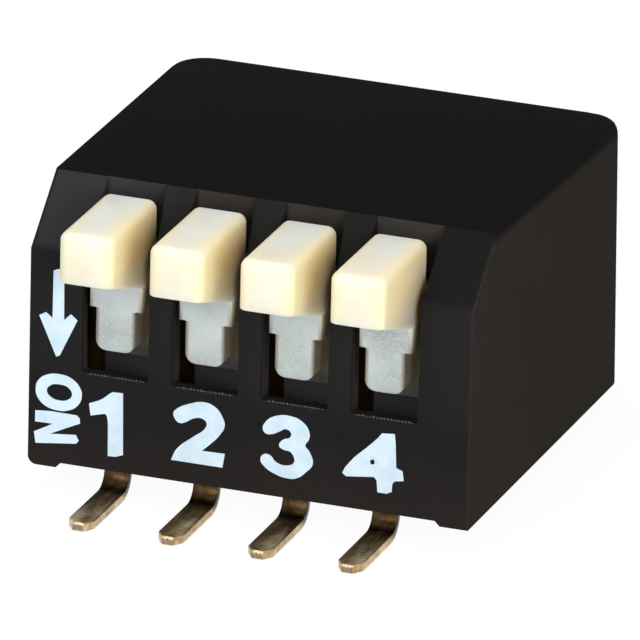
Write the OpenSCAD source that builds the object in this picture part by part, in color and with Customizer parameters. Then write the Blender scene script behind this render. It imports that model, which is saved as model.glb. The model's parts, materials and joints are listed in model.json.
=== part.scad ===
// Piano-style DIP switch with four side-operated levers and gull-wing leads.
// Millimetres. X runs along the row of levers, the levers stick out towards -Y, Z is up.
// The origin is on the board, at the middle of the whole footprint.

/* [Row of levers] */
// Number of levers in the row
positions = 4; // [2:1:8]
// Distance from one lever to the next, and from one lead to the next
pitch = 2.54; // [2.4:0.02:2.8]

/* [Cover] */
// Depth of the cover at its foot, front to back
body_d = 12.45; // [12:0.05:14]
// Height of the cover above its own feet
body_h = 7.8; // [7.6:0.1:8.4]
// Distance from the outer edge of an end slot to the end of the cover
end_margin = 1.49; // [1.4:0.01:2]
// Height of the upper part of the front, which leans back
slant_h = 1.65; // [1.5:0.05:1.8]
// How far the top edge lies behind the front
slant_d = 1.82; // [1.7:0.02:2]
// How far the back leans in from foot to top
back_draft = 0.35; // [0:0.05:0.5]
// Rounding of the upright corners at the back
back_round = 0.7; // [0.3:0.05:0.8]
// Rounding of the top edge at the back
top_round = 0.6; // [0.2:0.05:0.7]
// Thickness of the front wall and of the skirt at the back
front_wall = 0.42; // [0.4:0.02:0.5]
// Thickness of the end walls around the mechanism
end_wall = 1; // [0.9:0.05:1.1]
// Thickness of the skirt at the ends, around the base
skirt_wall = 0.6; // [0.5:0.05:0.7]
// Thickness of the back wall around the mechanism
back_wall = 1; // [0.8:0.05:1.4]
// Thickness of the top
top_wall = 0.9; // [0.7:0.05:1]
// Thickness of the wall behind the levers
partition_t = 0.6; // [0.5:0.05:0.8]
// Width of a slot
slot_w = 1.9; // [1.85:0.01:2]
// Height of the sill under a slot
sill_h = 2.8; // [2.6:0.02:2.9]
// Rounding of the lower corners of a slot
slot_round = 0.12; // [0.06:0.02:0.3]
// How much the top of a rib widens towards the lever on its left
rib_flare = 0.26; // [0.1:0.02:0.3]
// Width of the window that a lever's arm passes through
window_w = 1.3; // [1.25:0.05:1.5]
// Width of a standing foot at each end of the front and the back
foot_w = 0.8; // [0.7:0.05:1.2]
// How far the feet reach below the front wall
foot_drop = 0.14; // [0.1:0.02:0.2]
// Rounding of the lower edge of the left-hand end
corner_round = 0.24; // [0.1:0.02:0.3]

/* [Base] */
// Height of the underside of the base above the cover's feet
base_lift = 0.25; // [0.2:0.05:0.4]
// Thickness of the floor of the base
floor_t = 0.75; // [0.65:0.05:0.9]
// Thickness of a cradle wall between two levers
cradle_t = 0.74; // [0.6:0.02:0.8]
// Length of a cradle wall, front to back
cradle_d = 1.8; // [1.6:0.1:2.2]
// How far the snap bumps stand out of the ends of the base
bump_out = 0.12; // [0.08:0.02:0.2]
// Length of a snap bump, front to back
bump_len = 3; // [2:0.5:4]

/* [Levers] */
// Width of the head that the finger pushes
head_w = 1.55; // [1.4:0.01:1.6]
// How far the head sticks out in front of the cover
head_reach = 2.4; // [2:0.1:3]
// How far the head reaches back behind the front of the cover
head_back = 1.1; // [0.8:0.05:1.2]
// Height of the head's lower front edge above the pivot
head_low = 0.54; // [0.44:0.02:0.6]
// Height of the top of the head above the pivot
head_high = 1.95; // [1.85:0.05:2.05]
// How far the underside of the head slopes down from its front edge to the stem
head_drop = 0.76; // [0.5:0.02:0.8]
// Rounding of the head's edges
head_round = 0.26; // [0.1:0.02:0.3]
// Width of the shoulder under the head
shoulder_w = 1.46; // [1.4:0.02:1.6]
// Width of the stem below the shoulder
stem_w = 1.1; // [1:0.02:1.3]
// Length of the stem below the shoulder
stem_len = 1.19; // [1.1:0.01:1.4]
// Rounding of the stem's lower corners
stem_round = 0.3; // [0.1:0.05:0.4]
// Depth of the stem, front to back
stem_d = 1.05; // [0.9:0.05:1.1]
// Width of the plate behind the stem
plate_w = 1.36; // [1.2:0.02:1.5]
// Thickness of the plate behind the stem
plate_t = 0.25; // [0.2:0.01:0.3]
// How far the plate hangs below the stem
plate_drop = 0.42; // [0.2:0.02:0.5]
// Width of the arm that runs to the hub
arm_w = 1.1; // [0.8:0.05:1.1]
// Height of the arm
arm_h = 1; // [0.8:0.05:1.1]
// Distance of the pivot behind the front of the cover
pivot_d = 5; // [4.9:0.05:5.4]
// Distance of the pivot below the top of the cover
pivot_drop = 2.1; // [2.05:0.05:2.2]
// Diameter of a trunnion
trunnion_dia = 1; // [0.8:0.05:1]
// Diameter of the hub
hub_dia = 1.7; // [1.5:0.05:1.8]
// Width of the hub and the tail
hub_w = 1.5; // [1.4:0.05:1.6]
// Gap between the trunnions of two neighbouring levers
trunnion_gap = 0.14; // [0.1:0.02:0.3]
// Angle that a lever turns from up to down
swing = 8.5; // [6:0.5:9]

/* [Contacts] */
// Diameter of the contact ball
ball_dia = 1; // [0.8:0.05:1.1]
// How far the ball shows below the tail
ball_show = 0.32; // [0.25:0.01:0.4]
// Diameter of the spring wire
wire_dia = 0.15; // [0.1:0.01:0.2]
// Number of turns of a spring
spring_turns = 6; // [4:1:8]
// Distance from the pivot to the end of the spring's bore
bore_top = 1.37; // [1.2:0.01:1.6]
// Gap between the front and the back contact under a ball
contact_gap = 0.3; // [0.2:0.02:0.5]

/* [Leads] */
// Width of a lead
lead_w = 0.72; // [0.5:0.02:0.8]
// Thickness of a lead
lead_t = 0.25; // [0.2:0.01:0.3]
// Height of the cover's feet above the board
standoff = 0.64; // [0.5:0.02:1]
// How far the feet of the leads reach out from the cover
lead_reach = 2.6; // [2.2:0.1:3]
// Width of a lead's tip
tip_w = 0.32; // [0.3:0.02:0.6]
// Length of the taper at a lead's tip
tip_taper = 0.3; // [0.2:0.05:0.5]
// Inner radius of the bend into the lead's foot
foot_bend = 0.46; // [0.2:0.02:0.5]
// Inner radius of the bend into the base
neck_bend = 0.12; // [0.1:0.01:0.2]
// Depth of the lead's front behind the cover's front
lead_inset = 0.28; // [0.2:0.02:0.3]

/* [Clearances] */
// Clearance between the base and the cover
fit_gap = 0.03; // [0.02:0.01:0.06]
// Running clearance around a trunnion
run_gap = 0.03; // [0.02:0.01:0.05]
// Clearance between a ball or a spring and its bore
bore_gap = 0.02; // [0.01:0.01:0.04]
// Clearance between the arm of a lever and the window around it
arm_gap = 0.2; // [0.15:0.01:0.3]
// Clearance between a stem and the sill, with the lever down
stop_gap = 0.04; // [0.02:0.01:0.1]
// Clearance between a ball and the contacts, at the lowest point of its arc
contact_clear = 0.03; // [0.02:0.01:0.06]

/* [Hidden] */

row_w = (positions - 1) * pitch;
body_w = row_w + slot_w + 2 * end_margin;
inner_w = body_w - 2 * end_wall;
rebate_w = body_w - 2 * skirt_wall;
floor_top = base_lift + floor_t;
partition_back = slant_d + partition_t;
knee_h = body_h - slant_h;
pivot_h = body_h - pivot_drop;
// How far the whole part sticks out in front of the cover
front_reach = max(head_reach, lead_reach);
// The stem stops above the sill, and the wall of the base below the arm, with a lever down
stem_bottom = pivot_h + (sill_h + stop_gap - pivot_h + pivot_d * sin(swing)) / cos(swing);
sill_wall_h = pivot_h - (pivot_d - slant_d) * sin(swing) - arm_h / 2 * cos(swing) - arm_gap;
window_top = pivot_h + arm_h / 2 + arm_gap;
head_bottom = pivot_h + head_low;
head_top = pivot_h + head_high;
// Radius from the pivot to the centre of a ball, and to the end of a tail
ball_arc = pivot_h - floor_top - contact_clear - ball_dia / 2;
tail_len = ball_arc + ball_dia / 2 - ball_show;
bore_dia = ball_dia + 2 * bore_gap;
spring_len = ball_arc - ball_dia / 2 - bore_top;
// Height of the snap bumps above the underside of the base
bump_lift = 0.1;
// Where the ball stops when a lever is down: the gap between the contacts lies there
contact_y = pivot_d + ball_arc * sin(swing / 2);
spring_radius = (ball_dia - wire_dia) / 2 - 2 * bore_gap;
eps = 0.01;

// Centre of lever i along the row, with i from 1
function lever_x(i) = (i - (positions + 1) / 2) * pitch;

// Points of an arc in a plane, from one angle to another
function arc(centre, radius, from, to, steps = 8) =
    [for (k = [0:steps]) let (a = from + (to - from) * k / steps)
        centre + radius * [cos(a), sin(a)]];

// Everything below is drawn from the front of the cover and its feet
module from_front() {
    translate([0, -(body_d + lead_reach - front_reach) / 2, standoff]) children();
}

// Extrudes a side profile, drawn as [depth, height], to a width along X
module side_extrude(width) {
    translate([-width / 2, 0, 0])
        rotate([90, 0, 90]) linear_extrude(width) children();
}

// A box centred on X
module centred_box(width, y0, y1, z0, z1) {
    translate([-width / 2, y0, z0]) cube([width, y1 - y0, z1 - z0]);
}

// Cover

// Outline of the cover seen from above, with its back corners rounded
module cover_plan(depth, radius) {
    half = body_w / 2;
    polygon(concat(
        [[-half, 0], [half, 0]],
        arc([half - radius, depth - radius], radius, 0, 90),
        arc([-half + radius, depth - radius], radius, 90, 180)));
}

// Outside of the cover. Its back leans in, and the corners open out over the rounded top edge
module cover_block() {
    top_back = body_d - back_draft;
    steps = 6;
    intersection() {
        side_extrude(body_w)
            polygon([[0, 0], [body_d, 0], [body_d, body_h], [slant_d, body_h], [0, knee_h]]);
        hull() {
            linear_extrude(eps) cover_plan(body_d, back_round);
            for (k = [0:steps]) {
                a = 90 * k / steps;
                inset = top_round * (1 - cos(a));
                translate([0, 0, body_h - top_round * (1 - sin(a)) - eps])
                    linear_extrude(eps) cover_plan(top_back - inset, back_round + inset / 2);
            }
        }
    }
}

// Space behind the front wall and the ribs, where the levers move
module lever_space() {
    lean = atan2(slant_d, body_h - knee_h);
    inner_knee = knee_h - front_wall * tan(lean / 2);
    inner_top = inner_knee + (slant_d - front_wall) / tan(lean);
    side_extrude(inner_w)
        polygon([[front_wall, -eps], [slant_d + eps, -eps], [slant_d + eps, inner_top],
                 [front_wall, inner_knee]]);
}

// Opening of one slot seen from the front, with rounded lower corners. The rib on its right leans
// over it behind the lever's head
module slot_shape(flare) {
    half = slot_w / 2;
    polygon(concat(
        arc([-half + slot_round, sill_h + slot_round], slot_round, 180, 270),
        arc([half - slot_round, sill_h + slot_round], slot_round, 270, 360),
        [[half, knee_h + slant_h / 4], [half - flare * 0.4, knee_h + slant_h * 0.6],
         [half - flare, body_h + eps], [-half, body_h + eps]]));
}

module slot_cut(flare) {
    translate([0, slant_d, 0]) rotate([90, 0, 0]) linear_extrude(slant_d + eps) slot_shape(flare);
}

// Notches in the front and back skirt that the leads pass down through
module lead_pocket() {
    pocket_w = lead_w + 2 * fit_gap;
    pocket_y = lead_inset - fit_gap;
    centred_box(pocket_w, pocket_y, front_wall + eps, -eps, floor_top + eps);
    centred_box(pocket_w, body_d - front_wall - eps, body_d - pocket_y, -eps, floor_top + eps);
}

// Pockets in the end skirts that hold the snap bumps of the base
module snap_pocket() {
    half_d = bump_len / 2 + fit_gap;
    z0 = base_lift + bump_lift;
    centred_box(rebate_w + 2 * (bump_out + fit_gap), body_d / 2 - half_d, body_d / 2 + half_d,
                z0 - fit_gap, z0 + floor_t / 2 + fit_gap);
}

// Recess under the walls between the feet, with sloping ends
module foot_recess() {
    half = body_w / 2 - foot_w;
    translate([0, body_d + eps, 0]) rotate([90, 0, 0]) linear_extrude(body_d + 2 * eps)
        polygon([[-half - eps, -eps], [half + eps, -eps],
                 [half - foot_drop, foot_drop], [-half + foot_drop, foot_drop]]);
}

// What the rounding takes off the lower edge of the left-hand end
module corner_cut() {
    translate([-body_w / 2, body_d + eps, 0]) rotate([90, 0, 0]) linear_extrude(body_d + 2 * eps)
        difference() {
            translate([-eps, -eps]) square(corner_round + eps);
            translate([corner_round, corner_round]) circle(corner_round, $fn = 48);
        }
}

// Ribs under the top that keep the trunnions down in their cradles
module hold_down(x) {
    rib_w = cradle_t - 2 * fit_gap;
    translate([x, 0, 0])
        centred_box(rib_w, pivot_d - trunnion_dia / 2, pivot_d + trunnion_dia / 2,
                    pivot_h + trunnion_dia / 2 + run_gap, body_h - top_wall + eps);
}

module cover() {
    color([0.15, 0.15, 0.16])
    from_front()
    union() {
        difference() {
            cover_block();
            // Rebate that the floor of the base sits in
            centred_box(rebate_w, front_wall, body_d - front_wall, -eps, floor_top);
            // Space around the mechanism
            centred_box(inner_w, partition_back, body_d - back_wall, -eps, body_h - top_wall);
            // Room for the wall of the base, under the partition
            centred_box(inner_w, slant_d, partition_back + eps, -eps, sill_wall_h + fit_gap);
            lever_space();
            for (i = [1:positions]) translate([lever_x(i), 0, 0]) {
                slot_cut(i < positions ? rib_flare : 0);
                centred_box(window_w, slant_d - eps, partition_back + eps, sill_wall_h, window_top);
                lead_pocket();
            }
            foot_recess();
            corner_cut();
            snap_pocket();
        }
        for (i = [1:positions - 1]) hold_down(lever_x(i) + pitch / 2);
        for (side = [-1, 1]) hold_down(side * (row_w / 2 + pitch / 2));
    }
}

// Base

// Channel in the floor for one lead, seen from the front of the cover
module lead_channel(y_inner) {
    centred_box(lead_w, front_wall, y_inner, floor_top - lead_t, floor_top + eps);
    centred_box(lead_w, front_wall, lead_inset + lead_t + neck_bend + fit_gap,
                floor_top - lead_t - neck_bend - fit_gap, floor_top);
}

// Cradle wall from one X to another, with a round-bottomed notch for the trunnions
module cradle_wall(x0, x1) {
    notch_dia = trunnion_dia + 2 * run_gap;
    difference() {
        translate([x0, pivot_d - cradle_d / 2, floor_top - eps])
            cube([x1 - x0, cradle_d, pivot_h + trunnion_dia * 0.4 - floor_top + eps]);
        translate([x0 - eps, pivot_d, pivot_h])
            rotate([0, 90, 0]) cylinder(d = notch_dia, h = x1 - x0 + 2 * eps, $fn = 48);
        translate([x0 - eps, pivot_d - notch_dia / 2, pivot_h])
            cube([x1 - x0 + 2 * eps, notch_dia, trunnion_dia]);
    }
}

module base() {
    inner_half = inner_w / 2 - fit_gap;
    wall_x = lever_x(positions) + pitch / 2 - cradle_t / 2;
    color([0.12, 0.12, 0.13])
    from_front()
    union() {
        difference() {
            union() {
                // The floor starts behind the leads, which lie against its front and back
                centred_box(rebate_w - 2 * fit_gap, lead_inset + lead_t,
                            body_d - lead_inset - lead_t, base_lift, floor_top);
                snap_bumps();
            }
            for (i = [1:positions]) translate([lever_x(i), 0, 0]) {
                lead_channel(contact_y - contact_gap / 2);
                translate([0, body_d, 0]) mirror([0, 1, 0])
                    lead_channel(body_d - contact_y - contact_gap / 2);
            }
        }
        // The wall behind the sills closes the windows from below
        centred_box(2 * inner_half, slant_d + fit_gap, partition_back - fit_gap,
                    floor_top, sill_wall_h);
        for (i = [1:positions - 1]) {
            x = lever_x(i) + pitch / 2;
            cradle_wall(x - cradle_t / 2, x + cradle_t / 2);
        }
        cradle_wall(wall_x, inner_half);
        mirror([1, 0, 0]) cradle_wall(wall_x, inner_half);
    }
}

// Wedges at the ends of the floor that snap into the cover
module snap_bumps() {
    half = rebate_w / 2 - fit_gap;
    z0 = base_lift + bump_lift;
    z1 = z0 + floor_t / 2;
    for (side = [0, 1]) mirror([side, 0, 0])
        translate([0, body_d / 2 + bump_len / 2, 0]) rotate([90, 0, 0]) linear_extrude(bump_len)
            polygon([[half - eps, z0], [half + bump_out, z0], [half + bump_out, z0 + bump_lift],
                     [half - eps, z1]]);
}

// Levers

// Head, with sharp edges underneath and rounded ones elsewhere. It is deepest where it meets the stem
module lever_head() {
    half = head_w / 2 - head_round;
    front = -head_reach + head_round;
    back = head_back - head_round;
    hull() {
        centred_box(head_w, 0, stem_d / 3, head_bottom - head_drop, head_bottom);
        for (x = [-half, half], y = [front, back]) {
            translate([x, y, head_top - head_round]) sphere(head_round, $fn = 24);
            translate([x, y, head_bottom]) cylinder(r = head_round, h = head_round, $fn = 24);
        }
    }
}

// Shoulder and stem seen from the front
module stem_shape() {
    half = stem_w / 2;
    wide = shoulder_w / 2;
    low = stem_bottom + stem_round;
    shoulder_bottom = stem_bottom + stem_len;
    polygon(concat(
        arc([-half + stem_round, low], stem_round, 180, 270),
        arc([half - stem_round, low], stem_round, 270, 360),
        [[half, shoulder_bottom], [wide, shoulder_bottom], [wide, head_bottom + eps],
         [-wide, head_bottom + eps], [-wide, shoulder_bottom], [-half, shoulder_bottom]]));
}

// Hub with its trunnions, and the tail that holds the spring and the ball
module hub_and_tail() {
    translate([0, pivot_d, pivot_h]) {
        rotate([0, 90, 0]) {
            cylinder(d = hub_dia, h = hub_w, center = true, $fn = 48);
            cylinder(d = trunnion_dia, h = pitch - trunnion_gap, center = true, $fn = 48);
        }
        rotate([-swing / 2, 0, 0]) difference() {
            translate([-hub_w / 2, -hub_w / 2, -tail_len]) cube([hub_w, hub_w, tail_len]);
            translate([0, 0, -tail_len - eps])
                cylinder(d = bore_dia, h = tail_len - bore_top + eps, $fn = 48);
        }
    }
}

module actuator(i) {
    color([0.97, 0.95, 0.86])
    from_front() translate([lever_x(i), 0, 0]) {
        lever_head();
        translate([0, stem_d, 0]) rotate([90, 0, 0]) linear_extrude(stem_d) stem_shape();
        // Plate behind the stem, and the arm from the plate to the hub
        centred_box(plate_w, stem_d - eps, stem_d + plate_t, stem_bottom - plate_drop, head_bottom);
        centred_box(arm_w, stem_d, pivot_d, pivot_h - arm_h / 2, pivot_h + arm_h / 2);
        hub_and_tail();
    }
}

// Moves its children to the tail of lever i, with the pivot at the origin
module in_tail(i) {
    from_front() translate([lever_x(i), pivot_d, pivot_h]) rotate([-swing / 2, 0, 0]) children();
}

// Contacts

module contact_ball(i) {
    color([0.9, 0.76, 0.42])
    in_tail(i) translate([0, 0, -ball_arc]) sphere(d = ball_dia, $fn = 48);
}

// Coil spring between the end of the bore and the ball, as a swept wire
module contact_spring(i) {
    ring = 5;
    per_turn = 12;
    steps = spring_turns * per_turn;
    seat = wire_dia / 2 + bore_gap;
    z0 = -(ball_arc - ball_dia / 2) + seat;
    length = spring_len - 2 * seat;
    points = [for (s = [0:steps]) let (a = 360 * s / per_turn, z = z0 + length * s / steps)
        for (k = [0:ring - 1]) let (b = 360 * k / ring, r = spring_radius + wire_dia / 2 * cos(b))
            [r * cos(a), r * sin(a), z + wire_dia / 2 * sin(b)]];
    sides = [for (s = [0:steps - 1]) for (k = [0:ring - 1]) let (n = (k + 1) % ring)
        [s * ring + k, (s + 1) * ring + k, (s + 1) * ring + n, s * ring + n]];
    ends = [[for (k = [0:ring - 1]) k], [for (k = [ring - 1:-1:0]) steps * ring + k]];
    color([0.75, 0.76, 0.78])
    in_tail(i) polyhedron(points, concat(sides, ends));
}

// Leads

// Side profile of a lead from its contact to its foot, bent from one strip
module lead_profile(y_inner) {
    blade = floor_top - lead_t;
    leg = lead_inset + lead_t;
    foot_top = -standoff + lead_t;
    neck = [leg + neck_bend, blade - neck_bend];
    heel = [lead_inset - foot_bend, foot_top + foot_bend];
    polygon(concat(
        [[y_inner, blade]],
        arc(neck, neck_bend, 90, 180),
        arc(heel, foot_bend + lead_t, 0, -90),
        [[-lead_reach, -standoff], [-lead_reach, foot_top]],
        arc(heel, foot_bend, -90, 0),
        arc(neck, neck_bend + lead_t, 180, 90),
        [[y_inner, floor_top]]));
}

// Outline of a lead seen from above, with a tapered tip
module lead_plan(y_inner) {
    polygon([[-tip_w / 2, -lead_reach], [tip_w / 2, -lead_reach],
             [lead_w / 2, -lead_reach + tip_taper], [lead_w / 2, y_inner],
             [-lead_w / 2, y_inner], [-lead_w / 2, -lead_reach + tip_taper]]);
}

module lead(y_inner) {
    intersection() {
        side_extrude(lead_w) lead_profile(y_inner);
        translate([0, 0, -standoff - eps])
            linear_extrude(standoff + floor_top + 2 * eps) lead_plan(y_inner);
    }
}

module terminal_front(i) {
    color([0.85, 0.76, 0.52])
    from_front() translate([lever_x(i), 0, 0]) lead(contact_y - contact_gap / 2);
}

module terminal_rear(i) {
    color([0.85, 0.76, 0.52])
    from_front() translate([lever_x(i), body_d, 0]) mirror([0, 1, 0])
        lead(body_d - contact_y - contact_gap / 2);
}

cover();
base();
for (i = [1:positions]) {
    actuator(i);
    contact_spring(i);
    contact_ball(i);
    terminal_front(i);
    terminal_rear(i);
}
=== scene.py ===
"""Looks of the piano-style DIP switch: moulded black housing, ivory levers, plated leads and print."""

import json
import math
import random

import bpy
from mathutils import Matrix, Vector

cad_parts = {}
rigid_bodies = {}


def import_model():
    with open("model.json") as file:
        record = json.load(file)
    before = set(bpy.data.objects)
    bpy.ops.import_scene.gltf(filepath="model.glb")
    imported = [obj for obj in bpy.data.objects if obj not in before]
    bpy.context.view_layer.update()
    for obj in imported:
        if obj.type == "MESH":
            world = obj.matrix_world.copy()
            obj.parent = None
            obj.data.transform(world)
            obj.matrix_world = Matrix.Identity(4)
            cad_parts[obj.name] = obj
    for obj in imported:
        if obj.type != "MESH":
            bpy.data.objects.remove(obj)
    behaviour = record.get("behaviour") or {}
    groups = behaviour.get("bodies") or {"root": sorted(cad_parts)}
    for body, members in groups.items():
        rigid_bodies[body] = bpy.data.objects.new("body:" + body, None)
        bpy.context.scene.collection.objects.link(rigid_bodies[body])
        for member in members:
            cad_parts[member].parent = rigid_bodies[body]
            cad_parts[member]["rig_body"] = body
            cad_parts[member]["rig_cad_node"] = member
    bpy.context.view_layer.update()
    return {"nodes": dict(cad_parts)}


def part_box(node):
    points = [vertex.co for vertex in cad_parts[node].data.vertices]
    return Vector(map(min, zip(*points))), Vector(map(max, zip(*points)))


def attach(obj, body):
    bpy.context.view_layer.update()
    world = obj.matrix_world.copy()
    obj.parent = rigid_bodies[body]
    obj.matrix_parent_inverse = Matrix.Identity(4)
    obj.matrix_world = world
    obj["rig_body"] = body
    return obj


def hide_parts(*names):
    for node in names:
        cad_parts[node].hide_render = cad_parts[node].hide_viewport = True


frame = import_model()

MM = 0.001
POSITIONS = 4
NUMBERS = range(1, POSITIONS + 1)
PITCH = 2.54 * MM

# Places on the cover, worked out from the frame
COVER_LOW, COVER_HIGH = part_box("cover")
LEFT_X = COVER_LOW.x
RIGHT_X = COVER_HIGH.x
FRONT_Y = COVER_LOW.y
BACK_Y = COVER_HIGH.y
FOOT_Z = COVER_LOW.z
TOP_Z = COVER_HIGH.z


def up(height):
    """Place along Z, from millimetres above the cover's feet."""
    return FOOT_Z + height * MM


def back(depth):
    """Place along Y, from millimetres behind the cover's front."""
    return FRONT_Y + depth * MM


SILL_Z = up(2.8)
KNEE_Z = up(6.15)
WALL_Y = back(1.82)
ROW_HALF = 4.77 * MM


def lever_x(number):
    """Centre of a lever along the row."""
    return (number - (POSITIONS + 1) / 2) * PITCH


# Selection and mesh helpers


def activate(piece):
    """Selects one piece alone and makes it the active one."""
    bpy.ops.object.select_all(action="DESELECT")
    piece.select_set(True)
    bpy.context.view_layer.objects.active = piece


def edit_mesh(piece):
    """Enters edit mode on one piece with everything in it selected."""
    activate(piece)
    bpy.ops.object.mode_set(mode="EDIT")
    bpy.ops.mesh.select_mode(type="VERT")
    bpy.ops.mesh.select_all(action="SELECT")


def leave_edit():
    bpy.ops.object.mode_set(mode="OBJECT")


def apply_modifier(piece, kind, **settings):
    """Adds a modifier, sets it and applies it."""
    activate(piece)
    modifier = piece.modifiers.new(kind.lower(), kind)
    for name, value in settings.items():
        setattr(modifier, name, value)
    bpy.ops.object.modifier_apply(modifier=modifier.name)


def settle(piece):
    """Moves the piece's place into its mesh, so that its object sits at the origin."""
    activate(piece)
    bpy.ops.object.transform_apply(location=True, rotation=True, scale=True)


def finish_piece(piece, body, material):
    """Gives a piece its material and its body."""
    piece.data.materials.clear()
    piece.data.materials.append(material)
    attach(piece, body)


MERGE_DISTANCE = 0.002 * MM
FLAT_ANGLE = math.radians(0.5)


def moulded_copy(node, edge, corner_angle=30, segments=2):
    """Copy of a CAD node with its facets merged and its sharp edges rounded by a small radius."""
    source = frame["nodes"][node]
    piece = source.copy()
    piece.data = source.data.copy()
    piece.name = node + "_finished"
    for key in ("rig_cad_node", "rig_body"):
        if key in piece:
            del piece[key]
    bpy.context.scene.collection.objects.link(piece)
    piece.parent = None
    edit_mesh(piece)
    bpy.ops.mesh.remove_doubles(threshold=MERGE_DISTANCE)
    bpy.ops.mesh.dissolve_limited(angle_limit=FLAT_ANGLE)
    leave_edit()
    apply_modifier(piece, "BEVEL", width=edge, segments=segments, limit_method="ANGLE",
                   angle_limit=math.radians(corner_angle), use_clamp_overlap=True,
                   harden_normals=False, miter_outer="MITER_ARC")
    activate(piece)
    bpy.ops.object.shade_smooth_by_angle(angle=math.radians(corner_angle))
    return piece


# Materials


def new_material(name):
    """A material with its node tree, its shader and an Object coordinate."""
    material = bpy.data.materials.new(name)
    material.use_nodes = True
    tree = material.node_tree
    shader = tree.nodes["Principled BSDF"]
    place = tree.nodes.new("ShaderNodeTexCoord")
    return material, tree, shader, place.outputs["Object"]


def noise(tree, place, scale, detail=4, roughness=0.5, stretch=None):
    """Noise pattern, with its size in cells per metre."""
    if stretch is not None:
        mapping = tree.nodes.new("ShaderNodeMapping")
        mapping.inputs["Scale"].default_value = stretch
        tree.links.new(place, mapping.inputs["Vector"])
        place = mapping.outputs["Vector"]
    pattern = tree.nodes.new("ShaderNodeTexNoise")
    pattern.inputs["Scale"].default_value = scale
    pattern.inputs["Detail"].default_value = detail
    pattern.inputs["Roughness"].default_value = roughness
    tree.links.new(place, pattern.inputs["Vector"])
    return pattern.outputs["Fac"]


def ramp(tree, factor, stops):
    """Colour ramp with stops as (place, colour)."""
    node = tree.nodes.new("ShaderNodeValToRGB")
    elements = node.color_ramp.elements
    while len(elements) < len(stops):
        elements.new(0.5)
    for element, (where, colour) in zip(elements, stops):
        element.position = where
        element.color = (*colour, 1)
    tree.links.new(factor, node.inputs["Fac"])
    return node.outputs["Color"]


def level(tree, factor, low, high, from_low=0.3, from_high=0.7):
    """Spreads a pattern between two values."""
    node = tree.nodes.new("ShaderNodeMapRange")
    node.inputs["From Min"].default_value = from_low
    node.inputs["From Max"].default_value = from_high
    node.inputs["To Min"].default_value = low
    node.inputs["To Max"].default_value = high
    tree.links.new(factor, node.inputs["Value"])
    return node.outputs["Result"]


def combine(tree, operation, first, second=None, clamp=False):
    """One step of arithmetic on two values, each a socket or a number."""
    node = tree.nodes.new("ShaderNodeMath")
    node.operation = operation
    node.use_clamp = clamp
    for socket, value in zip(node.inputs, (first, second)):
        if isinstance(value, (int, float)):
            socket.default_value = value
        elif value is not None:
            tree.links.new(value, socket)
    return node.outputs["Value"]


def add_bump(tree, shader, height, strength, distance):
    """Raises a pattern a little from the surface."""
    bump = tree.nodes.new("ShaderNodeBump")
    bump.inputs["Strength"].default_value = strength
    bump.inputs["Distance"].default_value = distance
    tree.links.new(height, bump.inputs["Height"])
    tree.links.new(bump.outputs["Normal"], shader.inputs["Normal"])


def mixed(tree, factor, low, high):
    """Colour that goes from one to another as the factor goes from 0 to 1."""
    blend = tree.nodes.new("ShaderNodeMix")
    blend.data_type = "RGBA"
    tree.links.new(factor, blend.inputs["Factor"])
    for socket, colour in (("A", low), ("B", high)):
        if isinstance(colour, tuple):
            blend.inputs[socket].default_value = (*colour, 1)
        else:
            tree.links.new(colour, blend.inputs[socket])
    return blend.outputs["Result"]


def scaled(tree, colour, factor):
    """Colour multiplied by a number or by another colour."""
    blend = tree.nodes.new("ShaderNodeMix")
    blend.data_type = "RGBA"
    blend.blend_type = "MULTIPLY"
    blend.inputs["Factor"].default_value = 1
    tree.links.new(colour, blend.inputs["A"])
    if isinstance(factor, (int, float)):
        blend.inputs["B"].default_value = (factor, factor, factor, 1)
    else:
        tree.links.new(factor, blend.inputs["B"])
    return blend.outputs["Result"]


def axes(tree, place):
    """The X, Y and Z of a place."""
    split = tree.nodes.new("ShaderNodeSeparateXYZ")
    tree.links.new(place, split.inputs["Vector"])
    return split.outputs["X"], split.outputs["Y"], split.outputs["Z"]


def rise(tree, value, start, end):
    """Goes from 0 to 1 as a value goes from start to end."""
    return level(tree, value, 0, 1, start, end)


def fall(tree, value, start, end):
    """Goes from 1 to 0 as a value goes from start to end."""
    return level(tree, value, 1, 0, start, end)


def product(tree, first, *others):
    """Zone where several zones meet."""
    for other in others:
        first = combine(tree, "MULTIPLY", first, other)
    return first


WHOLE_BAYS = 10


def share_of_pitch(tree, along):
    """Place across one bay of the row, from 0 at its left to 1 at its right, with the lever at 0.5.
    Whole bays are added first, so that the value stays above zero."""
    bays = combine(tree, "DIVIDE", along, PITCH)
    return combine(tree, "FRACT", combine(tree, "ADD", bays, WHOLE_BAYS))


# Black moulding. Each tone of a face runs along it, from 0 at one end to 1 at the other.

# Painted shade: the top is given a deeper black than the front and sides, where less light falls
TOP_SHADED_BLACK = (0.0061, 0.0053, 0.0057)
# Painted light and shade on the front, lighter near the feet and darker at mid height
FRONT_SHADING_TONES = [(0.0, (0.0204, 0.0172, 0.0166)), (0.55, (0.0132, 0.0130, 0.0140)),
               (0.85, (0.0166, 0.0163, 0.0168))]
# Painted light on the right side, lighter towards the front and darker towards the back
SIDE_SHADING_TONES = [(0.0, (0.0265, 0.0225, 0.0210)), (0.5, (0.0230, 0.0208, 0.0178)),
              (1.0, (0.0196, 0.0172, 0.0146))]
# Painted sheen on the sloping front, a reflection of light that is brightest at the left end and fades
# along the row
SLOPE_SHEEN_TONES = [(0.0, (0.0340, 0.0345, 0.0368)), (0.12, (0.0310, 0.0312, 0.0332)),
               (0.3, (0.0195, 0.0192, 0.0196)), (0.7, (0.0165, 0.0163, 0.0165)),
               (0.9, (0.0108, 0.0107, 0.0108))]
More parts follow.
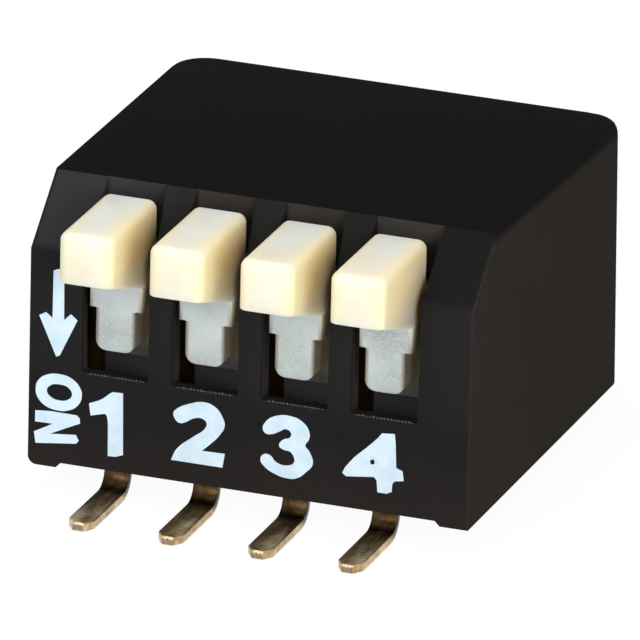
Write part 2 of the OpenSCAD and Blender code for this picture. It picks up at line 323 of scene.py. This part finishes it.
# Painted light and shade inside the lower slots: jambs brown with light bounced from the levers, the sill
# darker as shade, the wall under each stem paler as lit, the gap beside it dark as shadow, and the gap at
# the row's left end a warm shade
JAMB_BOUNCE_LIGHT = (0.043, 0.037, 0.0355)
SILL_SHADE = (0.022, 0.018, 0.017)
STEM_WALL_LIT = (0.057, 0.0545, 0.058)
GAP_SHADOW = (0.012, 0.006, 0.0015)
END_GAP_SHADE = (0.038, 0.022, 0.007)
# Painted light on the slot walls behind the heads: paler as lit, and brown with light bounced from the
# heads
FIRST_WALL_LIT = (0.0375, 0.0378, 0.0410)
WALL_BOUNCE_LIGHT = (0.0385, 0.0345, 0.0310)
CLOUD_SHADES = [(0.3, (0.93, 0.93, 0.93)), (0.7, (1.07, 1.07, 1.07))]


def outer_faces(tree, along, depth, height):
    """Front, top and right side of the housing, painted with light and shade. The front is painted lighter
    near the feet and darker at mid height, the right side lighter at the front and darker towards the back,
    and the top darker still. The top's painted shade comes over the right edge, and more of it towards the
    back."""
    front = ramp(tree, rise(tree, height, FOOT_Z, up(4)), FRONT_SHADING_TONES)
    faces = mixed(tree, rise(tree, height, TOP_Z - 0.25 * MM, TOP_Z - 0.02 * MM), front, TOP_SHADED_BLACK)
    side = ramp(tree, rise(tree, depth, FRONT_Y, BACK_Y), SIDE_SHADING_TONES)
    drop = level(tree, depth, 0.15 * MM, 0.5 * MM, back(2.3), BACK_Y - 1.1 * MM)
    over = combine(tree, "ADD", combine(tree, "SUBTRACT", height, TOP_Z), drop)
    side = mixed(tree, rise(tree, over, -0.14 * MM, 0.10 * MM), side, TOP_SHADED_BLACK)
    return mixed(tree, rise(tree, along, RIGHT_X - 0.10 * MM, RIGHT_X - 0.02 * MM), faces, side)


def low_slot(tree, along, depth, height):
    """Slots below the knee, painted with light and shade: brown jambs painted with light bounced from the
    levers, a sill painted darker as shade, and behind them a wall under each stem painted lit, with a
    painted shadow in the gap to its left."""
    turn = share_of_pitch(tree, along)
    after_first = rise(tree, along, -1.6 * PITCH, -1.55 * PITCH)
    gap_shadow = combine(tree, "MAXIMUM", rise(tree, turn, 0.94, 0.96),
                  product(tree, after_first, fall(tree, turn, 0.12, 0.135)))
    beyond = mixed(tree, gap_shadow, STEM_WALL_LIT, GAP_SHADOW)
    opening = mixed(tree, rise(tree, height, SILL_Z + 0.05 * MM, SILL_Z + 0.09 * MM),
                    SILL_SHADE, JAMB_BOUNCE_LIGHT)
    return mixed(tree, rise(tree, depth, WALL_Y - 0.10 * MM, WALL_Y), opening, beyond)


def black_moulding():
    """Satin black plastic, painted with light and shade. Its top is painted deepest, its right side painted
    a little lighter as lit and a little brown, the sloping front carries a painted sheen that fades along
    the row, and the walls inside the slots carry painted bounced light and painted shadows."""
    material, tree, shader, place = new_material("black_moulding")
    along, depth, height = axes(tree, place)
    aside = combine(tree, "ABSOLUTE", along)
    above_knee = rise(tree, height, KNEE_Z, KNEE_Z + 0.15 * MM)
    below_knee = combine(tree, "SUBTRACT", 1, above_knee)
    below_top = fall(tree, height, TOP_Z - 0.03 * MM, TOP_Z - 0.01 * MM)
    slope = product(tree, above_knee, below_top, fall(tree, depth, WALL_Y, WALL_Y + 0.02 * MM),
                    fall(tree, aside, RIGHT_X - 0.10 * MM, RIGHT_X - 0.03 * MM))
    # Painted sheen along the slope
    slope_sheen = ramp(tree, rise(tree, along, LEFT_X, RIGHT_X), SLOPE_SHEEN_TONES)
    colour = mixed(tree, slope, outer_faces(tree, along, depth, height), slope_sheen)
    inside = product(tree, rise(tree, depth, back(0.06), back(0.3)),
                     fall(tree, depth, back(6.0), back(6.1)))
    slots = product(tree, fall(tree, aside, ROW_HALF, ROW_HALF + 0.01 * MM), below_top, inside)
    colour = mixed(tree, product(tree, slots, below_knee), colour, low_slot(tree, along, depth, height))
    # Painted warm shade in the gap at the left end of the row
    end_gap_shade = product(tree, fall(tree, along, -ROW_HALF - 0.2 * MM, -ROW_HALF - 0.1 * MM),
                      rise(tree, along, -ROW_HALF - 0.6 * MM, -ROW_HALF - 0.55 * MM), inside, below_knee)
    colour = mixed(tree, end_gap_shade, colour, END_GAP_SHADE)
    # Painted light bounced from the heads onto the walls behind them
    lit_wall = mixed(tree, rise(tree, along, -PITCH - 0.05 * MM, -PITCH + 0.05 * MM),
                 FIRST_WALL_LIT, WALL_BOUNCE_LIGHT)
    at_wall = rise(tree, depth, WALL_Y - 0.03 * MM, WALL_Y - 0.01 * MM)
    colour = mixed(tree, product(tree, slots, above_knee, at_wall), colour, lit_wall)
    clouds = noise(tree, place, 420, detail=5, roughness=0.6)
    tree.links.new(scaled(tree, colour, ramp(tree, clouds, CLOUD_SHADES)), shader.inputs["Base Color"])
    grain = noise(tree, place, 9000, detail=3, roughness=0.6)
    tree.links.new(level(tree, grain, 0.82, 0.95), shader.inputs["Roughness"])
    shader.inputs["Specular IOR Level"].default_value = 0.03
    add_bump(tree, shader, grain, strength=0.3, distance=0.003 * MM)
    return material


# Ivory nylon. Its places are those of a lever at rest.

STEM_SHOULDER_Z = up(4.745)
STEM_HALF = 0.54 * MM
SHOULDER_HALF = 0.715 * MM
# Painted glow: the lower side of each head is painted pale, standing in for light passing through the nylon
LOW_SIDE_GLOW = (0.86, 0.82, 0.66)
# Painted light and shade on the heads: warm in front where the light falls, grey towards the back
LIT_HEAD_TONES = [(0.3, (0.86, 0.79, 0.64)), (0.5, (0.84, 0.825, 0.71)), (0.7, (0.84, 0.85, 0.79))]
SHADED_HEAD_TONES = [(0.35, (0.76, 0.80, 0.73)), (0.65, (0.84, 0.89, 0.83))]
# Stem tones: the nylon's milky look with specks, partly painted cooler and greyer as shade under the heads
SPECK_TONES = [(0.4, (0.40, 0.45, 0.46)), (0.6, (0.48, 0.53, 0.54)), (0.68, (0.63, 0.69, 0.70))]
MILKY_AND_SHADED = (0.56, 0.62, 0.64)
# Painted glow and shade on the heads' sides, golden at the front and darker towards the back, and painted
# shade on the stem's side near its front edge
SIDE_GLOW_TONES = [(0.0, (0.95, 0.84, 0.58)), (0.35, (0.94, 0.79, 0.46)), (0.7, (0.86, 0.725, 0.45)),
               (1.0, (0.84, 0.72, 0.49))]
STEM_EDGE_SHADE = (0.15, 0.13, 0.105)
STEM_SHADE = (0.58, 0.49, 0.32)
# Painted shade on the plate behind each stem, darkest near its foot
PLATE_FOOT_SHADE = (0.060, 0.042, 0.029)
PLATE_SHADE = (0.34, 0.285, 0.18)
ARM_SHADE = (0.05, 0.042, 0.030)


def lever_front(tree, depth, height, clouds, specks):
    """Milky stem with fine specks, partly painted cooler as shade, under a head painted warm in front
    where the light falls and grey with painted shade towards the back.
    """
    stem = mixed(tree, rise(tree, clouds, 0.4, 0.62), ramp(tree, specks, SPECK_TONES), MILKY_AND_SHADED)
    head = mixed(tree, rise(tree, depth, back(-1.6), back(1.0)),
                 ramp(tree, clouds, LIT_HEAD_TONES), ramp(tree, clouds, SHADED_HEAD_TONES))
    return mixed(tree, rise(tree, height, up(5.3), up(5.95)), stem, head)


def lever_side(tree, depth, height):
    """Side of the head with a painted amber glow, painted paler below, over the painted shade on the side
    of the stem.
    """
    side_glow = ramp(tree, rise(tree, depth, back(-2.3), back(1.0)), SIDE_GLOW_TONES)
    stem = mixed(tree, rise(tree, depth, back(0.25), back(0.8)), STEM_EDGE_SHADE, STEM_SHADE)
    low = mixed(tree, rise(tree, height, STEM_SHOULDER_Z, up(5.6)), stem, LOW_SIDE_GLOW)
    glow_zone = combine(tree, "MAXIMUM", rise(tree, height, up(5.9), up(6.6)),
                     fall(tree, depth, back(-2.25), back(-1.35)))
    return mixed(tree, glow_zone, low, side_glow)


def beside_lever(tree, along, height):
    """How far a place belongs to the lever's side: 0 on its front, and 1 from its edge outwards."""
    turn = share_of_pitch(tree, along)
    aside = combine(tree, "MULTIPLY",
                    combine(tree, "ABSOLUTE", combine(tree, "SUBTRACT", turn, 0.5)), PITCH)
    shoulder = level(tree, height, STEM_HALF, SHOULDER_HALF,
                     STEM_SHOULDER_Z - 0.02 * MM, STEM_SHOULDER_Z + 0.02 * MM)
    edge = combine(tree, "ADD", shoulder, level(tree, height, 0, 0.04 * MM, up(5.4), up(5.5)))
    softness = level(tree, height, 0.10 * MM, 0.42 * MM, up(5.3), up(5.9))
    over = combine(tree, "DIVIDE", combine(tree, "SUBTRACT", aside, edge), softness)
    return combine(tree, "ADD", over, 1, clamp=True)


def ivory_nylon():
    """Natural nylon that lets light in. Its heads are painted warm in front where light falls and grey with
    painted shade towards the back, their sides carry a painted amber glow of light through the nylon, the
    stems are milky and partly painted cooler as shade under the heads, and the plate behind each stem is
    painted dark as shade."""
    material, tree, shader, place = new_material("ivory_nylon")
    along, depth, height = axes(tree, place)
    clouds = noise(tree, place, 700, detail=4)
    specks = noise(tree, place, 19000, detail=2, roughness=0.6)
    colour = mixed(tree, beside_lever(tree, along, height),
                   lever_front(tree, depth, height, clouds, specks), lever_side(tree, depth, height))
    # Painted shade on the plate behind the stem, darker towards its foot
    plate = product(tree, rise(tree, depth, back(1.0), back(1.05)), fall(tree, height, up(5.2), up(5.4)))
    plate_shading = mixed(tree, rise(tree, height, up(3.3), up(4.0)), PLATE_FOOT_SHADE, PLATE_SHADE)
    colour = mixed(tree, plate, colour, plate_shading)
    # The arm behind the head lies deep in the slot, where little light comes
    arm = product(tree, rise(tree, depth, back(1.40), back(1.55)), fall(tree, height, up(6.21), up(6.25)))
    colour = mixed(tree, arm, colour, ARM_SHADE)
    tree.links.new(colour, shader.inputs["Base Color"])
    shader.inputs["Subsurface Weight"].default_value = 1.0
    shader.inputs["Subsurface Radius"].default_value = (1.0, 0.80, 0.45)
    shader.inputs["Subsurface Scale"].default_value = 0.65 * MM
    shader.inputs["Specular IOR Level"].default_value = 0.35
    grain = noise(tree, place, 6000, detail=3)
    tree.links.new(level(tree, grain, 0.36, 0.5), shader.inputs["Roughness"])
    add_bump(tree, shader, grain, strength=0.3, distance=0.006 * MM)
    return material


# Metals. The leads stand on the board, so their heights count from it.

CLEAN_GOLD = [(0.3, (0.37, 0.24, 0.112)), (0.5, (0.60, 0.435, 0.225)), (0.7, (0.82, 0.65, 0.385))]
# Painted dark reflection of the housing on the leads, darkest at the bend and paler up the leg
BEND_DARK_REFLECTION = [(0.36, (0.032, 0.018, 0.007)), (0.5, (0.052, 0.032, 0.013)),
                (0.66, (0.072, 0.044, 0.019))]
LEG_DARK_REFLECTION = [(0.3, (0.070, 0.045, 0.018)), (0.7, (0.105, 0.070, 0.031))]
BARE_METAL = [(0.3, (0.19, 0.135, 0.105)), (0.7, (0.37, 0.29, 0.24))]
ROLLED_GOLD = (0.84, 0.68, 0.44)
DULL_SPOT = 0.60


def gold_plating():
    """Thin tarnished gold over nickel, with rolling marks, dull spots, and a painted dark brown reflection
    of the housing that starts on the foot just before the bend and gets paler up the leg."""
    material, tree, shader, place = new_material("gold_plating")
    _, depth, height = axes(tree, place)
    patches = noise(tree, place, 2200, detail=5, roughness=0.65)
    spots = noise(tree, place, 9000, detail=4, roughness=0.7)
    ragged = combine(tree, "ADD", height, level(tree, spots, -0.05 * MM, 0.05 * MM))
    # Painted dark reflection, dark brown from just before the bend and paler up the leg
    dark_reflection = mixed(tree, rise(tree, ragged, 0.55 * MM, 0.90 * MM),
                    ramp(tree, patches, BEND_DARK_REFLECTION), ramp(tree, patches, LEG_DARK_REFLECTION))
    middle = (FRONT_Y + BACK_Y) / 2
    from_middle = combine(tree, "ABSOLUTE", combine(tree, "SUBTRACT", depth, middle))
    outward = combine(tree, "SUBTRACT", from_middle, middle - FRONT_Y)
    bend = combine(tree, "SUBTRACT", ragged, combine(tree, "MULTIPLY", outward, 0.6))
    colour = mixed(tree, rise(tree, bend, 0.02 * MM, 0.26 * MM), ramp(tree, patches, CLEAN_GOLD), dark_reflection)
    colour = mixed(tree, rise(tree, spots, 0.36, 0.62), scaled(tree, colour, DULL_SPOT), colour)
    tree.links.new(colour, shader.inputs["Base Color"])
    shader.inputs["Metallic"].default_value = 1.0
    marks = noise(tree, place, 3500, detail=3, stretch=(1.8, 0.3, 1.8))
    tree.links.new(level(tree, marks, 0.27, 0.42), shader.inputs["Roughness"])
    add_bump(tree, shader, marks, strength=0.22, distance=0.012 * MM)
    return material


def cut_metal():
    """Bare metal where a lead was cut off after plating. The plating is rolled over its top edge."""
    material, tree, shader, place = new_material("cut_metal")
    height = axes(tree, place)[2]
    marks = noise(tree, place, 9000, detail=4, stretch=(4, 1, 0.5))
    ragged = combine(tree, "ADD", height, level(tree, marks, -0.03 * MM, 0.03 * MM))
    colour = mixed(tree, rise(tree, ragged, 0.180 * MM, 0.205 * MM),
                   ramp(tree, marks, BARE_METAL), ROLLED_GOLD)
    tree.links.new(colour, shader.inputs["Base Color"])
    shader.inputs["Metallic"].default_value = 1.0
    tree.links.new(level(tree, marks, 0.4, 0.6), shader.inputs["Roughness"])
    add_bump(tree, shader, marks, strength=0.5, distance=0.008 * MM)
    return material


# Painted sill highlight, springs and print

# Painted highlight: pale grey specks where light catches the sill's front edge
SILL_HIGHLIGHT_TONES = [(0.4, (0.025, 0.025, 0.026)), (0.6, (0.11, 0.11, 0.112))]
STEEL_TONES = [(0.3, (0.45, 0.45, 0.47)), (0.7, (0.6, 0.6, 0.62))]
INK_TONES = [(0.3, (0.55, 0.70, 0.84)), (0.6, (0.66, 0.82, 0.95))]


def sill_edge_highlight():
    """Painted highlight along the sills: a pale strip where the light catches their front edge."""
    material, tree, shader, place = new_material("sill_edge_highlight")
    specks = noise(tree, place, 16000, detail=3)
    tree.links.new(ramp(tree, specks, SILL_HIGHLIGHT_TONES), shader.inputs["Base Color"])
    tree.links.new(level(tree, specks, 0.4, 0.6), shader.inputs["Roughness"])
    return material


def spring_steel():
    """Drawn wire, evenly bright with faint marks."""
    material, tree, shader, place = new_material("spring_steel")
    marks = noise(tree, place, 4000, detail=3)
    tree.links.new(ramp(tree, marks, STEEL_TONES), shader.inputs["Base Color"])
    shader.inputs["Metallic"].default_value = 1.0
    tree.links.new(level(tree, marks, 0.25, 0.4), shader.inputs["Roughness"])
    return material


def white_print():
    """Screen-printed ink, slightly cool, with a faint unevenness."""
    material, tree, shader, place = new_material("white_print")
    cover = noise(tree, place, 1800, detail=5, roughness=0.6)
    tree.links.new(ramp(tree, cover, INK_TONES), shader.inputs["Base Color"])
    tree.links.new(level(tree, cover, 0.55, 0.7), shader.inputs["Roughness"])
    shader.inputs["Specular IOR Level"].default_value = 0.2
    return material


BLACK = black_moulding()
IVORY = ivory_nylon()
GOLD = gold_plating()
STEEL = spring_steel()
INK = white_print()
CUT = cut_metal()
SILL_HIGHLIGHT = sill_edge_highlight()

# Housing, levers, contacts and leads

HOUSING_EDGE = 0.018 * MM
LEVER_EDGE = 0.05 * MM
LEAD_EDGE = 0.035 * MM
FACING_OUT = 0.97
TIP_DEPTH = 0.02 * MM


def show_cut_end(lead):
    """Gives the end face of a lead's tip the bare cut metal."""
    lead.data.materials.append(CUT)
    reach = max(abs(vertex.co.y) for vertex in lead.data.vertices)
    for face in lead.data.polygons:
        if abs(face.normal.y) > FACING_OUT and abs(face.center.y) > reach - TIP_DEPTH:
            face.material_index = 1


for node in ("cover", "base"):
    housing_part = moulded_copy(node, HOUSING_EDGE)
    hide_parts(node)
    finish_piece(housing_part, "housing", BLACK)

for number in NUMBERS:
    body = f"lever_{number}"
    node = f"actuator_{number}"
    lever = moulded_copy(node, LEVER_EDGE, corner_angle=35, segments=3)
    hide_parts(node)
    finish_piece(lever, body, IVORY)
    for kind, material in (("contact_spring", STEEL), ("contact_ball", GOLD)):
        part = frame["nodes"][f"{kind}_{number}"]
        part.data.materials.clear()
        part.data.materials.append(material)
    for row in ("front", "rear"):
        node = f"terminal_{row}_{number}"
        lead = moulded_copy(node, LEAD_EDGE, segments=3)
        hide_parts(node)
        finish_piece(lead, "housing", GOLD)
        show_cut_end(lead)

# Print on the front of the cover

PRINT_T = 0.014 * MM

# Outlines in millimetres from the middle of the cover and up from its feet. A curved outline runs
# smoothly through its points, and a straight one has a corner at each point. A point with a third
# value breaks its outline's rule.
ONE = [[(-4.52, 1.98), (-4.18, 2.14, "s"), (-3.95, 2.33, "s"), (-3.86, 2.40), (-3.56, 2.41), (-3.53, 0.65),
        (-3.74, 0.57), (-3.96, 0.56), (-4.01, 1.70, "s"), (-4.07, 1.75), (-4.47, 1.64)]]
TWO = [[(-2.12, 2.08), (-2.01, 2.22), (-1.67, 2.40), (-1.24, 2.51), (-0.93, 2.41), (-0.74, 2.19),
        (-0.66, 1.92), (-0.78, 1.66), (-1.05, 1.35), (-1.29, 1.12, "c"), (-0.64, 1.13, "c"),
        (-0.70, 0.73, "c"), (-2.16, 0.73, "c"), (-2.02, 1.05), (-1.52, 1.50), (-1.22, 1.76),
        (-1.17, 1.92), (-1.31, 2.04), (-1.55, 2.00), (-1.80, 1.85), (-1.95, 1.82), (-2.08, 1.93)]]
THREE = [[(0.42, 2.02), (0.50, 2.23), (0.75, 2.42), (1.18, 2.49), (1.56, 2.36), (1.74, 2.09), (1.72, 1.88),
          (1.63, 1.72), (1.75, 1.56), (1.85, 1.22), (1.68, 0.98), (1.42, 0.76), (1.16, 0.71), (0.80, 0.78),
          (0.50, 0.94), (0.37, 1.13), (0.47, 1.30), (0.64, 1.29), (0.80, 1.13), (1.10, 1.07), (1.32, 1.19),
          (1.30, 1.37), (1.20, 1.48), (1.02, 1.51), (0.89, 1.60), (1.00, 1.79), (1.19, 1.88), (1.22, 2.01),
          (1.08, 2.10), (0.90, 2.01), (0.68, 1.90), (0.50, 1.90)]]
FOUR = [[(3.78, 2.40), (4.14, 2.43), (4.17, 2.13), (4.20, 1.48), (4.38, 1.41), (4.42, 1.14), (4.16, 1.09),
         (4.10, 1.00), (4.09, 0.78), (3.95, 0.71), (3.69, 0.71), (3.66, 1.04), (3.58, 1.13), (3.28, 1.09),
         (2.80, 1.03), (2.69, 1.11), (2.76, 1.28), (3.02, 1.61), (3.43, 2.00), (3.66, 2.24)],
        [(3.53, 1.47, "s"), (3.59, 1.54, "s"), (3.55, 1.62, "s"), (3.46, 1.54, "s")]]
RING = [[(-6.05, 2.16), (-5.98, 2.42), (-5.72, 2.62), (-5.36, 2.68), (-5.02, 2.60), (-4.80, 2.40),
         (-4.73, 2.14), (-4.86, 1.84), (-5.12, 1.68), (-5.40, 1.64), (-5.76, 1.72), (-5.98, 1.92)],
        [(-5.73, 2.17), (-5.62, 2.33), (-5.36, 2.39), (-5.10, 2.32), (-5.01, 2.14), (-5.12, 1.99),
         (-5.36, 1.93), (-5.62, 2.00)]]
LYING_N = [[(-6.05, 1.55), (-5.60, 1.59), (-4.86, 1.58), (-4.78, 1.50), (-4.77, 1.36), (-5.63, 0.94),
            (-4.88, 1.02), (-4.80, 0.86), (-4.87, 0.77), (-6.03, 0.62), (-6.08, 0.94), (-5.54, 1.24),
            (-6.05, 1.23)]]
ARROW = [[(-5.59, 5.60), (-5.46, 5.66), (-5.29, 5.66), (-5.27, 4.24), (-5.08, 4.43), (-4.89, 4.28),
          (-5.38, 3.21), (-5.48, 3.17), (-5.98, 4.28), (-5.79, 4.39), (-5.60, 4.25)]]


# Closer points become one, also in the outlines' millimetres
JOINED_POINTS = 0.0005


def printed_shape(name, outlines, curved=False):
    """Flat mark on the front face, filled inside its outline and open inside the others."""
    curve = bpy.data.curves.new(name, "CURVE")
    curve.dimensions = "2D"
    curve.fill_mode = "BOTH"
    curve.resolution_u = 5
    curve.extrude = PRINT_T / MM / 2
    for outline in outlines:
        spline = curve.splines.new("BEZIER")
        spline.bezier_points.add(len(outline) - 1)
        spline.use_cyclic_u = True
        for point, (x, z, *kind) in zip(spline.bezier_points, outline):
            smooth = kind[0] == "s" if kind else curved
            point.co = (x, z, 0)
            point.handle_left_type = point.handle_right_type = "AUTO" if smooth else "VECTOR"
    piece = bpy.data.objects.new(name, curve)
    bpy.context.scene.collection.objects.link(piece)
    activate(piece)
    bpy.ops.object.convert(target="MESH")
    piece = bpy.context.active_object
    edit_mesh(piece)
    bpy.ops.mesh.remove_doubles(threshold=JOINED_POINTS)
    bpy.ops.mesh.normals_make_consistent(inside=False)
    leave_edit()
    piece.scale = (MM, MM, MM)
    piece.rotation_euler = (math.radians(90), 0, 0)
    piece.location = (0, FRONT_Y - PRINT_T / 2, FOOT_Z)
    settle(piece)
    finish_piece(piece, "housing", INK)


for name, outlines, curved in (
        ("digit_1", ONE, False), ("digit_2", TWO, True), ("digit_3", THREE, True), ("digit_4", FOUR, False),
        ("letter_o", RING, True), ("letter_n", LYING_N, False), ("arrow_down", ARROW, False)):
    printed_shape(name, outlines, curved)

# Thin ragged pale strip along the front edge of each sill, a painted highlight of the lit edge

HIGHLIGHT_LENGTH = 1.76 * MM
HIGHLIGHT_T = 0.014 * MM
HIGHLIGHT_COLUMNS = 140
HIGHLIGHT_SEED = 30
HIGHLIGHT_LEAN = 0.004 * MM
HIGHLIGHT_START = Vector((0.02, 0.012, -0.008)) * MM
TOOTH_PITCH = 0.10 * MM
TOOTH_FOOT = 0.004 * MM
TOOTH_LEAST = 0.022 * MM
TOOTH_SPREAD = 0.050 * MM
END_SHARE = 1 / 12


def sill_highlight(number):
    """Ragged pale strip along one sill, a painted highlight standing up from its front edge in small teeth
    that get lower towards its ends. Its grid has three rows of points, from its foot to the tips of its
    teeth."""
    bpy.ops.mesh.primitive_grid_add(x_subdivisions=HIGHLIGHT_COLUMNS, y_subdivisions=2, size=1,
                                    location=(0, 0, 0))
    piece = bpy.context.active_object
    piece.name = f"sill_highlight_{number}"
    random.seed(HIGHLIGHT_SEED + number)
    for vertex in piece.data.vertices:
        along = vertex.co.x
        lift = vertex.co.y + 0.5
        tooth = abs((along * HIGHLIGHT_LENGTH / TOOTH_PITCH) % 1 - 0.5) * 2
        ragged = TOOTH_FOOT + (TOOTH_LEAST + TOOTH_SPREAD * random.random()) * tooth
        ends = min(1.0, (0.5 - abs(along)) / END_SHARE)
        lean = -HIGHLIGHT_LEAN * random.random()
        vertex.co = (along * HIGHLIGHT_LENGTH, lean, lift * ragged * ends)
    piece.location = Vector((lever_x(number), FRONT_Y, SILL_Z)) + HIGHLIGHT_START
    settle(piece)
    apply_modifier(piece, "SOLIDIFY", thickness=HIGHLIGHT_T, offset=0)
    finish_piece(piece, "housing", SILL_HIGHLIGHT)


for number in NUMBERS:
    sill_highlight(number)

# Camera, light and floor

# Measured from the middle of the cover's front edge at its feet
CAMERA_PLACE = Vector((126.417, -347.332, 145.009)) * MM + Vector((0, FRONT_Y, FOOT_Z))
CAMERA_TURN = (69.2592, -1.2417, 20.1842)
LENS = 839.433
SENSOR = 36

camera_data = bpy.data.cameras.new("camera")
camera_data.lens = LENS
camera_data.sensor_width = SENSOR
camera_data.clip_start = 0.01
camera_data.clip_end = 10
camera = bpy.data.objects.new("camera", camera_data)
camera.location = CAMERA_PLACE
camera.rotation_euler = [math.radians(angle) for angle in CAMERA_TURN]
bpy.context.scene.collection.objects.link(camera)
bpy.context.scene.camera = camera


def softbox(name, place, aim, size, power, colour=(1, 1, 1)):
    """Square area lamp that faces a point."""
    data = bpy.data.lights.new(name, "AREA")
    data.shape = "SQUARE"
    data.size = size
    data.energy = power
    data.color = colour
    lamp = bpy.data.objects.new(name, data)
    lamp.location = place
    lamp.rotation_euler = (Vector(aim) - Vector(place)).to_track_quat("-Z", "Y").to_euler()
    bpy.context.scene.collection.objects.link(lamp)


CENTRE = (0, 0, 0.004)
softbox("key_light", (-0.03, -0.23, 0.085), CENTRE, size=0.12, power=0.20)
softbox("fill_light", (0.15, -0.15, 0.055), CENTRE, size=0.10, power=0.26, colour=(1.0, 0.96, 0.89))
softbox("top_light", (-0.03, -0.03, 0.2), CENTRE, size=0.14, power=0.165, colour=(1.0, 0.985, 0.95))

WHITE = (1, 1, 1, 1)
WORLD_LIGHT = 0.28
FLOOR_GLOW = 0.95
FLOOR_TONE = (0.75, 0.75, 0.75, 1)
SHADOW_TONE = (0.08, 0.08, 0.08, 1)
FLOOR_SIZE = 1.2
FLOOR_MIDDLE = (0, 0.2, -0.05 * MM)


def mix_by_sight(tree, unseen, seen):
    """Shows one shader to the camera and in glossy and clear surfaces, and lights with the other."""
    ray = tree.nodes.new("ShaderNodeLightPath")
    sight = ray.outputs["Is Camera Ray"]
    for kind in ("Is Glossy Ray", "Is Transmission Ray"):
        sight = combine(tree, "ADD", sight, ray.outputs[kind], clamp=True)
    mix = tree.nodes.new("ShaderNodeMixShader")
    tree.links.new(sight, mix.inputs["Fac"])
    tree.links.new(unseen, mix.inputs[1])
    tree.links.new(seen, mix.inputs[2])
    return mix.outputs["Shader"]


def background(tree, strength):
    """White background of a given strength."""
    node = tree.nodes.new("ShaderNodeBackground")
    node.inputs["Color"].default_value = WHITE
    node.inputs["Strength"].default_value = strength
    return node.outputs["Background"]


def make_world():
    """Pale studio world, which is seen as white and lights the part softly."""
    world = bpy.data.worlds.new("studio")
    world.use_nodes = True
    tree = world.node_tree
    tree.nodes.clear()
    out = tree.nodes.new("ShaderNodeOutputWorld")
    shown = mix_by_sight(tree, background(tree, WORLD_LIGHT), background(tree, 1.0))
    tree.links.new(shown, out.inputs["Surface"])
    bpy.context.scene.world = world


def floor_material():
    """Plain pale floor, seen as white with a faint shadow of the part."""
    material, tree, shader, _ = new_material("floor_white")
    shader.inputs["Base Color"].default_value = FLOOR_TONE
    shader.inputs["Roughness"].default_value = 0.9
    shader.inputs["Specular IOR Level"].default_value = 0
    glow = tree.nodes.new("ShaderNodeEmission")
    glow.inputs["Strength"].default_value = FLOOR_GLOW
    shade = tree.nodes.new("ShaderNodeBsdfDiffuse")
    shade.inputs["Color"].default_value = SHADOW_TONE
    both = tree.nodes.new("ShaderNodeAddShader")
    tree.links.new(glow.outputs["Emission"], both.inputs[0])
    tree.links.new(shade.outputs["BSDF"], both.inputs[1])
    shown = mix_by_sight(tree, shader.outputs["BSDF"], both.outputs["Shader"])
    tree.links.new(shown, tree.nodes["Material Output"].inputs["Surface"])
    return material


make_world()

bpy.ops.mesh.primitive_plane_add(size=FLOOR_SIZE, location=FLOOR_MIDDLE)
floor = bpy.context.active_object
floor.name = "floor"
settle(floor)
floor.data.materials.append(floor_material())

bpy.context.scene.view_settings.view_transform = "Standard"
